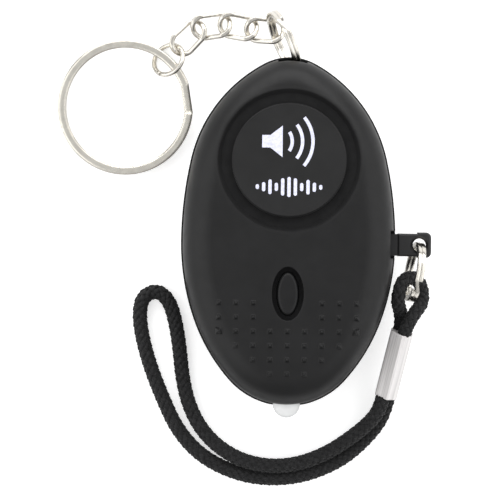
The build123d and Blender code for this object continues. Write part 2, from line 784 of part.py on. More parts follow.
with BuildPart() as trip_leaf:
    with BuildSketch(Plane.XY.offset(pin_height)):
        with Locations((leaf_root_place, leaf_axis)):
            Rectangle(leaf_contact_place + leaf_end - leaf_root_place, leaf_thickness,
                      align=(Align.MIN, Align.CENTER))
            Circle(post_radius + seat_gap + leaf_eye_wall)
            Circle(post_radius + seat_gap, mode=Mode.SUBTRACT)
        with Locations((leaf_contact_place, leaf_axis - leaf_thickness / 2)):
            Circle(leaf_bump_radius)
    extrude(amount=leaf_height / 2, both=True)
trip_leaf.part.label = "trip_leaf"
export_step(trip_leaf.part, "parts/trip_leaf.step")

with BuildPart() as pull_pin:
    with BuildSketch(Plane.XY.offset(pin_height)):
        with Locations((tab_start, pin_offset)):
            Rectangle(pin_reach - tab_start, pin_tab_width, align=(Align.MIN, Align.CENTER))
        with Locations((pin_reach - pin_head_length / 2, pin_offset)):
            Rectangle(pin_head_length, pin_head_width)
        fillet(vertices().group_by(Axis.X)[-1], pin_tab_rounding)
    extrude(amount=pin_tab_thickness / 2, both=True)
    fillet(pull_pin.faces().sort_by(Axis.Z)[-1].edges(), pin_tab_edge)
    fillet(pull_pin.faces().sort_by(Axis.Z)[0].edges(), pin_tab_edge)
    with BuildSketch(Plane.XY.offset(pin_height)):
        with Locations((half_width - wall - pin_gap, pin_offset)):
            Rectangle(tab_start + pin_head_length - half_width + wall, pin_neck_width,
                      align=(Align.MIN, Align.CENTER))
        with BuildLine():
            Polyline(
                (blade_tip_place, blade_low), (half_width - wall, blade_low),
                (half_width - wall, blade_high), (leaf_contact_place, blade_high),
                (blade_tip_place, blade_low + blade_tip),
                close=True)
        make_face()
    extrude(amount=pin_neck_thickness / 2, both=True)
    with BuildSketch(Plane.XY.offset(pin_height)):
        with Locations((eye.X, eye.Y)):
            Circle(pin_eye_radius)
    extrude(amount=pin_tab_thickness, both=True, mode=Mode.SUBTRACT)
    mouth_rise = (pin_tab_thickness - pin_eye_edge) / 2
    for side in (-1, 1):
        with Locations(Location((eye.X, eye.Y, pin_height + side * mouth_rise), (90 - side * 90, 0, 0))):
            Cone(pin_eye_radius, pin_eye_radius + pin_eye_edge, pin_eye_edge, mode=Mode.SUBTRACT)
pull_pin.part.label = "pull_pin"
export_step(pull_pin.part, "parts/pull_pin.step")


def leaning(centre, heading, lean):
    """Plane of a ring that stands on edge: its level diameter at this heading, its top leaning."""
    level = Vector(1, 0, 0).rotate(Axis.Z, heading)
    side = Vector(level.Y, -level.X, 0)
    upright = Vector(0, 0, 1) * cos(radians(lean)) + side * sin(radians(lean))
    return Plane(origin=centre, x_dir=level, z_dir=level.cross(upright))


pin_level = Vector(1, 0, 0).rotate(Axis.Z, pin_ring_heading)
pin_ring_centre = eye - pin_level * (pin_ring_radius - small_ring_face / 2)
with BuildPart() as pin_ring:
    with Locations(Location(leaning(pin_ring_centre, pin_ring_heading, pin_ring_lean))):
        add(split_ring(pin_ring_radius, small_ring_face, small_ring_turn).moved(
            Rotation(0, 0, 2 * ring_jog_place)))
pin_ring.part.label = "pin_ring"
export_step(pin_ring.part, "parts/pin_ring.step")

with BuildPart() as anchor_ring:
    with Locations(Location(leaning(ring_centre, anchor_heading, anchor_lean))):
        add(split_ring(small_ring_radius, small_ring_face, small_ring_turn).moved(
            Rotation(0, 0, ring_jog_place)))
anchor_ring.part.label = "anchor_ring"
export_step(anchor_ring.part, "parts/anchor_ring.step")


def pose(place, heading, rise, roll):
    """Location at a place, turned by a heading, then tipped up along X, then rolled about X."""
    return Location(place) * Rotation(0, 0, heading) * Rotation(0, -rise, 0) * Rotation(roll, 0, 0)


# Curb link: half of a twisted loop of round wire, its other half turned over, both faces flattened
with BuildPart() as curb_link:
    with BuildLine() as half_loop:
        FilletPolyline(
            (link_length / 2, 0, 0), (link_length / 2, link_width / 2, -link_rise),
            (-link_length / 2, link_width / 2, link_rise), (-link_length / 2, 0, 0),
            radius=link_corner)
    loop_start = Plane(origin=half_loop.wires()[0] @ 0, z_dir=half_loop.wires()[0] % 0)
    with BuildSketch(loop_start):
        Circle(link_wire / 2)
    sweep(path=half_loop.wires()[0])
    add(curb_link.part.moved(Rotation(180, 0, 0)))
    with BuildSketch(Plane.XY):
        Rectangle(2 * link_length, 2 * link_width)
    extrude(amount=link_thickness / 2, both=True, mode=Mode.INTERSECT)

link_pitch = link_length - link_wire - link_play
hook = ring_centre + Vector(*chain_hook_shares) * ring_middle
link_poses = []
for angles in chain_angles:
    hooked = pose(hook, *angles)
    link_poses.append(hooked * Pos(-link_pitch / 2, 0, 0))
    hook = (hooked * Pos(-link_pitch, 0, 0)).position

with BuildPart() as chain_link_1:
    with Locations(link_poses[0]):
        add(curb_link.part)
chain_link_1.part.label = "chain_link_1"
export_step(chain_link_1.part, "parts/chain_link_1.step")

with BuildPart() as chain_link_2:
    with Locations(link_poses[1]):
        add(curb_link.part)
chain_link_2.part.label = "chain_link_2"
export_step(chain_link_2.part, "parts/chain_link_2.step")

with BuildPart() as chain_link_3:
    with Locations(link_poses[2]):
        add(curb_link.part)
chain_link_3.part.label = "chain_link_3"
export_step(chain_link_3.part, "parts/chain_link_3.step")

with BuildPart() as chain_link_4:
    with Locations(link_poses[3]):
        add(curb_link.part)
chain_link_4.part.label = "chain_link_4"
export_step(chain_link_4.part, "parts/chain_link_4.step")

jump_reach = link_length / 2 - (link_wire + jump_wire) / 2 - jump_play + jump_radius
jump_shift = Pos(-jump_reach, jump_side_share * jump_radius, 0)
jump_centre = (link_poses[3] * jump_shift).position
with BuildPart() as cut_loop:
    with BuildSketch(Plane.XZ.rotated((0, 0, jump_cut_place + jump_cut / 2))):
        with Locations((jump_radius, 0)):
            Circle(jump_wire / 2)
    revolve(axis=Axis.Z, revolution_arc=360 - jump_cut)

with BuildPart() as jump_ring:
    with Locations(pose(jump_centre, *jump_angles)):
        add(cut_loop.part)
jump_ring.part.label = "jump_ring"
export_step(jump_ring.part, "parts/jump_ring.step")

key_level = pose((0, 0, 0), key_heading, key_tilt, 0)
key_reach = key_ring_radius - key_ring_face / 2 + key_play
key_centre = (Location(jump_centre) * key_level * Pos(-key_reach, 0, 0)).position
with BuildPart() as key_ring:
    with Locations(pose(key_centre, key_heading, key_tilt, 0)):
        add(split_ring(key_ring_radius, key_ring_face, key_ring_turn).moved(
            Rotation(0, 0, key_jog_place)))
key_ring.part.label = "key_ring"
export_step(key_ring.part, "parts/key_ring.step")

# Strap crimp: a folded sleeve of six sides round the two cords
crimp_line = (Vector(crimp_bottom) - Vector(crimp_top)).normalized()
crimp_across = Vector(0, 0, 1).cross(crimp_line).normalized()
crimp_plane = Plane(origin=crimp_top, x_dir=crimp_across, z_dir=crimp_line)
crimp_length = (Vector(crimp_bottom) - Vector(crimp_top)).length
cord_shift = crimp_plane.x_dir * (cord_spread / 2) - crimp_plane.y_dir * (cord_rise / 2)
with BuildPart() as strap_crimp:
    side = crimp_side_share * crimp_height / 2
    with BuildSketch(crimp_plane):
        with BuildLine():
            Polyline(
                (crimp_ridge, crimp_height / 2), (-crimp_width / 2, side),
                (-crimp_width / 2, -side), (-crimp_ridge, -crimp_height / 2),
                (crimp_width / 2, -side), (crimp_width / 2, side),
                close=True)
        make_face()
        fillet(vertices(), crimp_rounding)
    extrude(amount=crimp_length)
    for end in (0, -1):
        rim = strap_crimp.faces().sort_by(Axis(crimp_top, crimp_line))[end].edges()
        chamfer(rim, crimp_edge)
strap_crimp.part.label = "strap_crimp"
export_step(strap_crimp.part, "parts/strap_crimp.step")

strap_exit = crimp_line * strap_lead
outer_end = Vector(crimp_bottom) + cord_shift
inner_end = Vector(crimp_bottom) - cord_shift
strap_route = [outer_end, outer_end + strap_exit, *strap_points, inner_end + strap_exit, inner_end]
with BuildPart() as wrist_strap:
    add(cord(strap_route, cord_diameter, "wrist_strap"))
wrist_strap.part.label = "wrist_strap"
export_step(wrist_strap.part, "parts/wrist_strap.step")

loop_shift = crimp_plane.x_dir * (cord_spread / 2) + crimp_plane.y_dir * (cord_rise / 2)
loop_exit = crimp_line * loop_lead
low_end = Vector(crimp_top) - loop_shift
high_end = Vector(crimp_top) + loop_shift
loop_route = [low_end, low_end - loop_exit, *loop_points, high_end - loop_exit, high_end]
with BuildPart() as ring_loop:
    add(cord(loop_route, loop_diameter, "ring_loop"))
ring_loop.part.label = "ring_loop"
export_step(ring_loop.part, "parts/ring_loop.step")
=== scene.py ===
"""Looks of the personal safety alarm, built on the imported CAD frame. Metres, in the CAD's frame."""

import math

import bpy
import numpy as np
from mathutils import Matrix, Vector


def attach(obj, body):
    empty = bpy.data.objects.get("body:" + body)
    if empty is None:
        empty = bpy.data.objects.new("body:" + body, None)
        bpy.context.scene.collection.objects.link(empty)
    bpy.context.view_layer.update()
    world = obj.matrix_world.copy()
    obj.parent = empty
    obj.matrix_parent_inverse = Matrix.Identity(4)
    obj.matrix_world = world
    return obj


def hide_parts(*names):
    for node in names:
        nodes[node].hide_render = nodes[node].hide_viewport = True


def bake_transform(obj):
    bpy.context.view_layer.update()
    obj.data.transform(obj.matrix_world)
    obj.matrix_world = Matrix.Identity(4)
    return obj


MM = 0.001

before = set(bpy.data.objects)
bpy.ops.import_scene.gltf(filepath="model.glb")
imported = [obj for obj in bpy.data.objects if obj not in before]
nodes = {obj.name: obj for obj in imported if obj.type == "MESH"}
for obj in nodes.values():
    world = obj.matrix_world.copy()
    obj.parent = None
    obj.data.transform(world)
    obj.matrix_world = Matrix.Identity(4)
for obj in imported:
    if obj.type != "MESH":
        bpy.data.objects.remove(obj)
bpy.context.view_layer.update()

# Sizes of the part that the looks need, as in its source, in millimetres
CASE_THICKNESS = 19.0
CROWN_RADIUS, SPEAKER_OFFSET, DISC_PROUD = 270.0, 13.1, 0.15
MOAT_RADIUS = 13.3
BUTTON_OFFSET, GROOVE_HALF = 11.4, (2.95, 4.95)
STRAP_DIAMETER, LOOP_DIAMETER = 2.9, 2.75
CRIMP_TOP = Vector((21.2, -18.26, 7.4))
CRIMP_BOTTOM = Vector((18.39, -30.1, 4.3))
CORD_SPREAD, CORD_RISE = 1.0, 2.75
STRAP_LEAD, LOOP_LEAD = 2.6, 1.4
STRAP_POINTS = [
    (17.2, -35.2, 1.75), (14.1, -38.9, 1.55), (9.9, -42.4, 1.5), (3.61, -45.1, 1.5),
    (-2.84, -45.84, 1.5), (-9.12, -44.9, 1.5), (-15.6, -41.8, 1.5), (-20.1, -36.9, 1.5),
    (-22.75, -31.3, 1.5), (-25.02, -25.79, 1.5), (-26.6, -20.6, 1.5), (-27.4, -15.9, 1.5),
    (-26.9, -12.3, 1.5), (-24.1, -11.0, 1.5), (-21.8, -13.0, 1.5), (-20.6, -17.0, 1.5),
    (-19.8, -22.0, 1.5), (-19.3, -26.9, 1.5), (-18.2, -31.8, 1.8), (-16.0, -36.3, 2.4),
    (-12.6, -39.9, 2.9), (-8.2, -42.4, 3.1), (-2.87, -43.5, 3.1), (2.66, -42.9, 3.1),
    (8.0, -40.7, 3.2), (12.2, -37.8, 3.7), (15.3, -35.2, 4.45)]
LOOP_POINTS = [
    (20.88, -14.42, 7.52), (20.12, -12.38, 11.41), (21.21, -8.16, 10.73), (24.28, -8.29, 7.58),
    (25.2, -12.52, 6.97), (23.32, -14.87, 9.33)]

# Braid of the cords: shares of the cord's radius, of the room between strands, and millimetres
STRAND_HALF_HEIGHT, WEAVE_DEPTH = 0.175, 0.13
STRAND_HALF_WIDTH = 0.54
CARRIERS, PITCH, BRAID_STEP = 6, 8.4, 0.28
CORE_SIDES, STRAND_SIDES = 12, 6
CURVE_RESOLUTION = 16

# Print on the disc, in millimetres from the disc's middle, its arcs by radius and half angle
INK_HEIGHT, INK_SINK = 0.02, 0.01
LINE_WIDTH = 0.62
HORN_X, HORN_Y = -2.6, 3.4
HORN = [(-2.4, -1.15), (-0.9, -1.15), (1.35, -2.9), (1.35, 2.9), (-0.9, 1.15), (-2.4, 1.15)]
ARCS, ARC_POINTS = ((3.1, 34), (5.0, 38), (6.9, 40)), 22
BAR_Y, BAR_PITCH = -4.95, 1.16
BAR_HEIGHTS = (0.9, 1.7, 2.7, 1.5, 3.2, 3.7, 3.2, 1.5, 2.7, 1.7, 0.9)
BAR_END_STEPS = 8

# Camera, straight above, as the photograph was taken: millimetres and degrees, clipping in metres
VIEW_CENTRE = (-7.01, -3.45)
VIEW_WIDTH = 92.25
VIEW_HEIGHT = 1500.0
VIEW_LEVEL = 7.0                # height of the object's middle, where the width is measured
VIEW_ROLL = 0.65
SENSOR_WIDTH = 36.0
CLIP_NEAR, CLIP_FAR = 0.01, 10.0

# Stage in metres: strength of the floor's and the sky's glow, and the heights on the sky, from 0 at
# the horizon to 1 overhead, between which its glow grows
FLOOR_HALF = 4.0
FLOOR_GLOW, MIRRORED_GLOW = 0.56, 0.15
SKY_LOW, SKY_HIGH = 0.06, 0.62
HORIZON, SKY_FULL = 0.02, 0.35
WHITE = (1.0, 1.0, 1.0, 1.0)
LAMP_TARGET = Vector((0.0, 0.0, 0.0))
LAMPS = [                       # name, place, size in metres, power in watts
    ("left_box", (-0.58, -0.08, 0.45), (1.0, 1.0), 3.4),
    ("right_box", (0.60, 0.0, 0.42), (1.0, 1.0), 3.2),
    ("far_box", (0.0, 0.65, 0.40), (1.2, 0.6), 5.6)]

# Colours and detail that several materials share
BLACK, BLACK_WORN = (0.0042, 0.0042, 0.0045), (0.006, 0.006, 0.0064)
BLACK_PARTS, BLACK_PIN = (0.0042, 0.0042, 0.0046), (0.0085, 0.0085, 0.0092)
SOLDER_MASK = (0.012, 0.10, 0.035)
NOISE_LOW, NOISE_HIGH = 0.3, 0.7            # the values that a noise mostly has
RAMP_LOW, RAMP_HIGH = 0.35, 0.65
NOISE_ROUGHNESS = 0.55
BEVEL_SAMPLES = 6
AREA_EDGE = 0.02                            # softness of a dull area's edge, as a share of its size
SPECULAR, TRANSMISSION = "Specular IOR Level", "Transmission Weight"

# Noises of plastic and of plating, by size in millimetres and detail, and how far they reach
CLOUDS, HANDLING, GRAIN_DETAIL = (6.0, 2.0), (2.2, 4.0), 2.0
LIGHTER, LIGHTER_BY = 1.3, 0.0005
SHINIER, DULLER = 0.04, 0.06
TARNISH, RUBBING, MARKS = (1.6, 4.0), (0.6, 5.0), (0.9, 3.0)
TARNISHED, MARK_DEPTH = 0.9, 0.004

# Patterns: brush strokes per metre along and across the crimp, copper fields, coil turns
STROKES = (60.0, 3600.0, 3600.0)
FIELD_PITCH, FIELD_GAP = 2.6, 0.05
TURN_PITCH, BANDS_IN_ONE = 0.5, 3.1


# Materials
class Shader:
    """A Principled material with a few short ways to add procedural detail."""

    def __init__(self, name, colour, roughness, metallic=0.0, sockets=None):
        self.material = bpy.data.materials.new(name)
        self.material.use_nodes = True
        self.tree = self.material.node_tree
        self.bsdf = self.tree.nodes["Principled BSDF"]
        self.bsdf.inputs["Base Color"].default_value = (*colour, 1.0)
        self.bsdf.inputs["Roughness"].default_value = roughness
        self.bsdf.inputs["Metallic"].default_value = metallic
        for socket, value in (sockets or {}).items():
            self.bsdf.inputs[socket].default_value = value

    def node(self, kind, inputs=None, **values):
        """A new node, with values for some of its inputs and properties."""
        made = self.tree.nodes.new(kind)
        for key, value in values.items():
            setattr(made, key, value)
        for key, value in (inputs or {}).items():
            made.inputs[key].default_value = value
        return made

    def link(self, start, end):
        self.tree.links.new(start, end)

    def place(self):
        """Object coordinates, in metres."""
        return self.node("ShaderNodeTexCoord").outputs["Object"]

    def noise(self, size_mm, detail):
        """Noise whose features are about this many millimetres wide."""
        made = self.node("ShaderNodeTexNoise", {
            "Scale": 1.0 / (size_mm * MM), "Detail": detail, "Roughness": NOISE_ROUGHNESS})
        self.link(self.place(), made.inputs["Vector"])
        return made.outputs["Fac"]

    def spread(self, fac, low, high):
        """Maps noise from its usual range to low..high."""
        made = self.node("ShaderNodeMapRange", {
            "From Min": NOISE_LOW, "From Max": NOISE_HIGH, "To Min": low, "To Max": high})
        self.link(fac, made.inputs["Value"])
        return made.outputs["Result"]

    def vary_colour(self, fac, dark, light):
        """Mixes the colour between two others by a noise."""
        made = self.node("ShaderNodeValToRGB")
        for element, position, colour in zip(
                made.color_ramp.elements, (RAMP_LOW, RAMP_HIGH), (dark, light)):
            element.position = position
            element.color = (*colour, 1.0)
        self.link(fac, made.inputs["Fac"])
        self.link(made.outputs["Color"], self.bsdf.inputs["Base Color"])

    def vary_roughness(self, fac, low, high, dull_areas=()):
        """Varies the roughness by a noise, and adds to it inside some ellipses."""
        total = self.spread(fac, low, high)
        for area in dull_areas:
            added = self.node("ShaderNodeMath", operation="ADD")
            self.link(total, added.inputs[0])
            self.link(self.inside(*area), added.inputs[1])
            total = added.outputs["Value"]
        self.link(total, self.bsdf.inputs["Roughness"])

    def inside(self, centre, half, value):
        """This value inside an upright ellipse, given in millimetres, and 0 outside it."""
        stretch = self.node("ShaderNodeMapping", {
            "Location": (-centre[0] / half[0], -centre[1] / half[1], 0.0),
            "Scale": (1.0 / (half[0] * MM), 1.0 / (half[1] * MM), 0.0)})
        far = self.node("ShaderNodeVectorMath", operation="LENGTH")
        step = self.node("ShaderNodeMapRange", {
            "From Min": 1.0 + AREA_EDGE, "From Max": 1.0 - AREA_EDGE, "To Max": value})
        self.link(self.place(), stretch.inputs["Vector"])
        self.link(stretch.outputs["Vector"], far.inputs[0])
        self.link(far.outputs["Value"], step.inputs["Value"])
        return step.outputs["Result"]

    def round_edges(self, radius_mm):
        """Rounds the edges in the shading only."""
        made = self.node("ShaderNodeBevel", {"Radius": radius_mm * MM}, samples=BEVEL_SAMPLES)
        self.link(made.outputs["Normal"], self.bsdf.inputs["Normal"])

    def bump(self, fac, depth_mm):
        """Relief by a noise, on top of what the normal already has."""
        made = self.node("ShaderNodeBump", {"Distance": depth_mm * MM, "Strength": 1.0})
        self.link(fac, made.inputs["Height"])
        before = self.bsdf.inputs["Normal"].links
        if before:
            self.link(before[0].from_socket, made.inputs["Normal"])
        self.link(made.outputs["Normal"], self.bsdf.inputs["Normal"])


def finished(name, colour, roughness, *, wear, grain, tint=None, metallic=0.0, sockets=None,
             edge=0.0, dull_areas=()):
    """A material from three noises, each given by its size in millimetres and its detail.

    tint goes on with a dark and a light colour, wear with the lowest and highest roughness,
    and grain with a depth in millimetres.
    """
    made = Shader(name, colour, roughness, metallic, sockets)
    if edge:
        made.round_edges(edge)
    if tint:
        made.vary_colour(made.noise(*tint[:2]), *tint[2:])
    made.vary_roughness(made.noise(*wear[:2]), *wear[2:], dull_areas)
    made.bump(made.noise(*grain[:2]), grain[2])
    return made.material


def moulded(name, colour, roughness, grain=0.35, depth=0.006, specular=0.5, worn=None, **more):
    """Moulded plastic: a fine spark-eroded grain and slight wear in its sheen."""
    worn = worn or tuple(c * LIGHTER + LIGHTER_BY for c in colour)
    return finished(
        name, colour, roughness, sockets={SPECULAR: specular}, tint=(*CLOUDS, colour, worn),
        wear=(*HANDLING, roughness - SHINIER, roughness + DULLER),
        grain=(grain, GRAIN_DETAIL, depth), **more)


def plated(name, colour, roughness, wear=0.08, edge=0.0):
    """Plated metal with faint wear and fine handling marks, and edges rounded by edge millimetres."""
    dark = tuple(c * TARNISHED for c in colour)
    return finished(
        name, colour, roughness, metallic=1.0, edge=edge, tint=(*TARNISH, dark, colour),
        wear=(*RUBBING, roughness, roughness + wear), grain=(*MARKS, MARK_DEPTH))


black = moulded("black_abs", BLACK, 0.42, specular=0.30)
# The moat and the button's groove have a coarser, duller texture: centre, half size, added roughness
black_front = moulded(
    "black_abs_front", BLACK, 0.42, specular=0.30, worn=BLACK_WORN, edge=0.3,
    dull_areas=(((0.0, SPEAKER_OFFSET), (MOAT_RADIUS, MOAT_RADIUS), 0.44),
                ((0.0, -BUTTON_OFFSET), GROOVE_HALF, 0.55)))
black_moving = moulded("black_abs_parts", BLACK_PARTS, 0.42, 0.3, 0.005, 0.26)
pin_plastic = moulded("black_abs_pin", BLACK_PIN, 0.36, 0.3, 0.005, 0.45)
disc_face = moulded("disc_face", (0.0055, 0.0055, 0.0058), 0.46, 0.25, 0.004, 0.32)
switch_case = moulded("switch_case", (0.018, 0.018, 0.018), 0.5)
chip_case = moulded("chip_case", (0.016, 0.016, 0.017), 0.62, 0.2, 0.006)
bond_rubber = moulded("silicone_bond", (0.72, 0.71, 0.66), 0.45, 0.8, 0.02)
wire_coat = moulded("wire_coat", (0.42, 0.016, 0.014), 0.42, 0.5, 0.004)

nickel = plated("nickel", (0.74, 0.71, 0.65), 0.10, edge=0.45)
ring_nickel = plated("nickel_key_ring", (0.89, 0.855, 0.775), 0.12, edge=0.8)
zinc = plated("zinc", (0.58, 0.59, 0.60), 0.28, 0.12)
cell_metal = plated("cell_can", (0.70, 0.70, 0.69), 0.24, 0.10)
contact_metal = plated("contact_strip", (0.74, 0.70, 0.60), 0.22, 0.10)
brass = plated("brass", (0.80, 0.60, 0.28), 0.26, 0.12)

clear_epoxy = finished(
    "clear_epoxy", (0.97, 0.98, 0.98), 0.06, sockets={TRANSMISSION: 0.1, "IOR": 1.5},
    wear=(1.2, 3.0, 0.04, 0.12), grain=(2.5, 2.0, 0.01))
ceramic = finished(
    "silvered_ceramic", (0.74, 0.72, 0.66), 0.4,
    tint=(1.2, 4.0, (0.66, 0.64, 0.58), (0.80, 0.78, 0.72)),
    wear=(0.7, 3.0, 0.32, 0.5), grain=(0.3, 2.0, 0.008))
nylon = finished(
    "braided_nylon", (0.006, 0.006, 0.0064), 0.74,
    sockets={"Sheen Weight": 0.08, "Sheen Roughness": 0.5, SPECULAR: 0.3},
    tint=(0.7, 4.0, (0.003, 0.003, 0.0034), (0.013, 0.013, 0.0138)),
    wear=(0.5, 3.0, 0.62, 0.85), grain=(0.12, 3.0, 0.03))
ink = finished(
    "pale_print", (0.66, 0.67, 0.82), 0.5,
    tint=(0.5, 4.0, (0.58, 0.59, 0.74), (0.74, 0.75, 0.90)),
    wear=(0.4, 3.0, 0.42, 0.6), grain=(0.2, 2.0, 0.004))

# Aluminium of the crimp, brushed along the sleeve: a noise stretched along its axis
crimp_axis = (CRIMP_BOTTOM - CRIMP_TOP).normalized()
crimp_shader = Shader("brushed_aluminium", (0.74, 0.72, 0.715), 0.50, 0.35)
turned = crimp_shader.node("ShaderNodeMapping", {
    "Rotation": crimp_axis.to_track_quat("X", "Z").to_euler()}, vector_type="TEXTURE")
stretched = crimp_shader.node("ShaderNodeMapping", {"Scale": STROKES})
strokes = crimp_shader.node("ShaderNodeTexNoise", {"Scale": 1.0, "Detail": 4.0})
crimp_shader.link(crimp_shader.place(), turned.inputs["Vector"])
crimp_shader.link(turned.outputs["Vector"], stretched.inputs["Vector"])
crimp_shader.link(stretched.outputs["Vector"], strokes.inputs["Vector"])
crimp_shader.vary_colour(strokes.outputs["Fac"], (0.66, 0.64, 0.635), (0.88, 0.86, 0.855))
crimp_shader.vary_roughness(strokes.outputs["Fac"], 0.5, 0.7)
crimp_shader.bump(strokes.outputs["Fac"], 0.012)
crimp_shader.bump(crimp_shader.noise(1.8, 2.0), 0.05)

# Solder mask with fields of copper under it
board_shader = Shader("solder_mask", SOLDER_MASK, 0.34)
tracks = board_shader.node("ShaderNodeTexBrick", {
    "Scale": 1.0 / (FIELD_PITCH * MM), "Mortar Size": FIELD_GAP, "Color1": (*SOLDER_MASK, 1.0),
    "Color2": (0.014, 0.12, 0.042, 1.0), "Mortar": (0.03, 0.20, 0.08, 1.0)}, offset=0.5)
board_shader.link(board_shader.place(), tracks.inputs["Vector"])
board_shader.link(tracks.outputs["Color"], board_shader.bsdf.inputs["Base Color"])
board_shader.bump(board_shader.noise(0.5, 3.0), 0.01)

# Winding of the coil, in bands across its axis
coil_shader = Shader("enamelled_copper", (0.55, 0.20, 0.07), 0.3, 0.8)
turns = coil_shader.node(
    "ShaderNodeTexWave", {"Scale": 1.0 / (TURN_PITCH * MM) / BANDS_IN_ONE}, wave_type="BANDS",
    bands_direction="Z")
coil_shader.link(coil_shader.place(), turns.inputs["Vector"])
coil_shader.vary_colour(turns.outputs["Fac"], (0.36, 0.11, 0.035), (0.62, 0.26, 0.10))
coil_shader.bump(turns.outputs["Fac"], 0.08)

CAD_MATERIALS = {
    "front_shell": black_front, "rear_shell": black, "torch_button": black_moving,
    "pull_pin": pin_plastic, "front_disc": disc_face, "shell_screws": zinc,
    "torch_switch": switch_case, "switch_plunger": switch_case,
    "circuit_board": board_shader.material, "driver_chip": chip_case,
    "step_up_coil": coil_shader.material, "led_lens": clear_epoxy, "led_leads": zinc,
    "piezo_plate": brass, "piezo_ceramic": ceramic, "piezo_bond": bond_rubber,
    "piezo_wires": wire_coat, "button_cells": cell_metal, "flat_contact": contact_metal,
    "spring_contact": contact_metal, "trip_terminals": brass, "trip_leaf": brass,
    "pin_ring": nickel, "anchor_ring": nickel, "chain_link_1": nickel, "chain_link_2": nickel,
    "chain_link_3": nickel, "chain_link_4": nickel, "jump_ring": nickel,
    "key_ring": ring_nickel, "strap_crimp": crimp_shader.material}
for node, material in CAD_MATERIALS.items():
    for slot in nodes[node].material_slots:
        slot.material = material
    if not nodes[node].material_slots:
        nodes[node].data.materials.append(material)


def add_object(name, data):
    """A new object in the scene."""
    made = bpy.data.objects.new(name, data)
    bpy.context.scene.collection.objects.link(made)
    return made


def add_mesh(name, vertices, faces, material, smooth=False):
    """A new mesh object in the scene."""
    mesh = bpy.data.meshes.new(name)
    mesh.from_pydata(vertices, [], faces)
    mesh.polygons.foreach_set("use_smooth", [smooth] * len(mesh.polygons))
    mesh.materials.append(material)
    mesh.update()
    return add_object(name, mesh)


# Cords: a NURBS line on the route's points, and braid strands that follow it
def route_line(name, points):
    """Points down the middle of a cord, read from a NURBS spline with these control points."""
    data = bpy.data.curves.new(name, "CURVE")
    data.dimensions = "3D"
    data.resolution_u = CURVE_RESOLUTION
    spline = data.splines.new("NURBS")
    spline.points.add(len(points) - 1)
    for place, point in zip(spline.points, points):
        place.co = (*(Vector(point) * MM), 1.0)
    spline.order_u = 3
    spline.use_endpoint_u = True
    holder = bpy.data.objects.new(name, data)
    mesh = bpy.data.meshes.new_from_object(holder)
    line = np.array([v.co for v in mesh.vertices], float)
    bpy.data.meshes.remove(mesh)
    bpy.data.objects.remove(holder)
    bpy.data.curves.remove(data)
    return line


def even(line, step):
    """The same line with points about this far apart, and how far along it each one is."""
    gaps = np.linalg.norm(np.diff(line, axis=0), axis=1)
    far = np.concatenate(([0.0], np.cumsum(gaps)))
    count = max(2, int(round(far[-1] / step)) + 1)
    want = np.linspace(0.0, far[-1], count)
    return np.stack([np.interp(want, far, line[:, k]) for k in range(3)], axis=1), want


def unit(vectors):
    """The same directions with length one."""
    return vectors / np.linalg.norm(vectors, axis=-1, keepdims=True)


def sides_and_ups(line):
    """Two steady directions across a line at each of its points."""
    tangent = unit(np.gradient(line, axis=0))
    sides = [unit(np.cross(tangent[0], (0.0, 0.0, 1.0)))]
    for k in range(1, len(line)):
        sides.append(unit(sides[-1] - tangent[k] * (sides[-1] @ tangent[k])))
    sides = np.array(sides)
    return sides, np.cross(tangent, sides)


def tube(vertices, faces, centres, wide, high, half_width, half_height, count):
    """Adds a closed tube of elliptical section to lists of vertices and faces."""
    first = len(vertices)
    angles = np.linspace(0.0, 2 * math.pi, count, endpoint=False)
    for c, w, h in zip(centres, wide, high):
        for a in angles:
            across = w * (half_width * math.cos(a)) + h * (half_height * math.sin(a))
            vertices.append(tuple(c + across))
    rings = len(centres)
    for ring in range(rings - 1):
        for k in range(count):
            a = first + ring * count + k
            b = first + ring * count + (k + 1) % count
            faces.append((a, b, b + count, a + count))
    faces.append(tuple(first + k for k in reversed(range(count))))
    faces.append(tuple(first + (rings - 1) * count + k for k in range(count)))


def braided(name, points, diameter):
    """A braided cord: a core, and strands that pass over and under each other round it."""
    line, far = even(route_line(name + "_route", points), BRAID_STEP * MM)
    side, up = sides_and_ups(line)
    radius = diameter / 2 * MM
    half_high = STRAND_HALF_HEIGHT * radius
    weave = WEAVE_DEPTH * radius
    middle = radius - half_high - weave
    vertices, faces = [], []
    tube(vertices, faces, line, side, up, middle, middle, CORE_SIDES)
    turn = 2 * math.pi / (PITCH * MM)
    slant = math.atan(turn * middle)
    half_wide = STRAND_HALF_WIDTH * (2 * math.pi * middle / CARRIERS) * math.cos(slant)
    for way in (-1, 1):
        lift = middle + way * weave * np.cos(CARRIERS * turn * far)
        for carrier in range(CARRIERS):
            angle = way * turn * far + 2 * math.pi * carrier / CARRIERS
            out = np.cos(angle)[:, None] * side + np.sin(angle)[:, None] * up
            centres = line + out * lift[:, None]
            heading = unit(np.gradient(centres, axis=0))
            wide = unit(np.cross(heading, out))
            tube(vertices, faces, centres, wide, np.cross(wide, heading), half_wide, half_high,
                 STRAND_SIDES)
    return add_mesh(name, vertices, faces, nylon, smooth=True), line, float(far[-1])


# Each cord has both its ends in the crimp, one above the other and a little to its side
crimp_across = Vector((0.0, 0.0, 1.0)).cross(crimp_axis).normalized()
crimp_up = crimp_axis.cross(crimp_across)
strap_shift = crimp_across * (CORD_SPREAD / 2) - crimp_up * (CORD_RISE / 2)
loop_shift = crimp_across * (CORD_SPREAD / 2) + crimp_up * (CORD_RISE / 2)

outer_end = CRIMP_BOTTOM + strap_shift
inner_end = CRIMP_BOTTOM - strap_shift
strap_exit = crimp_axis * STRAP_LEAD
strap_route = [outer_end, outer_end + strap_exit, *STRAP_POINTS, inner_end + strap_exit, inner_end]
strap, strap_line, strap_length = braided("braided_wrist_strap", strap_route, STRAP_DIAMETER)
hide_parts("wrist_strap")
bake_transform(strap)

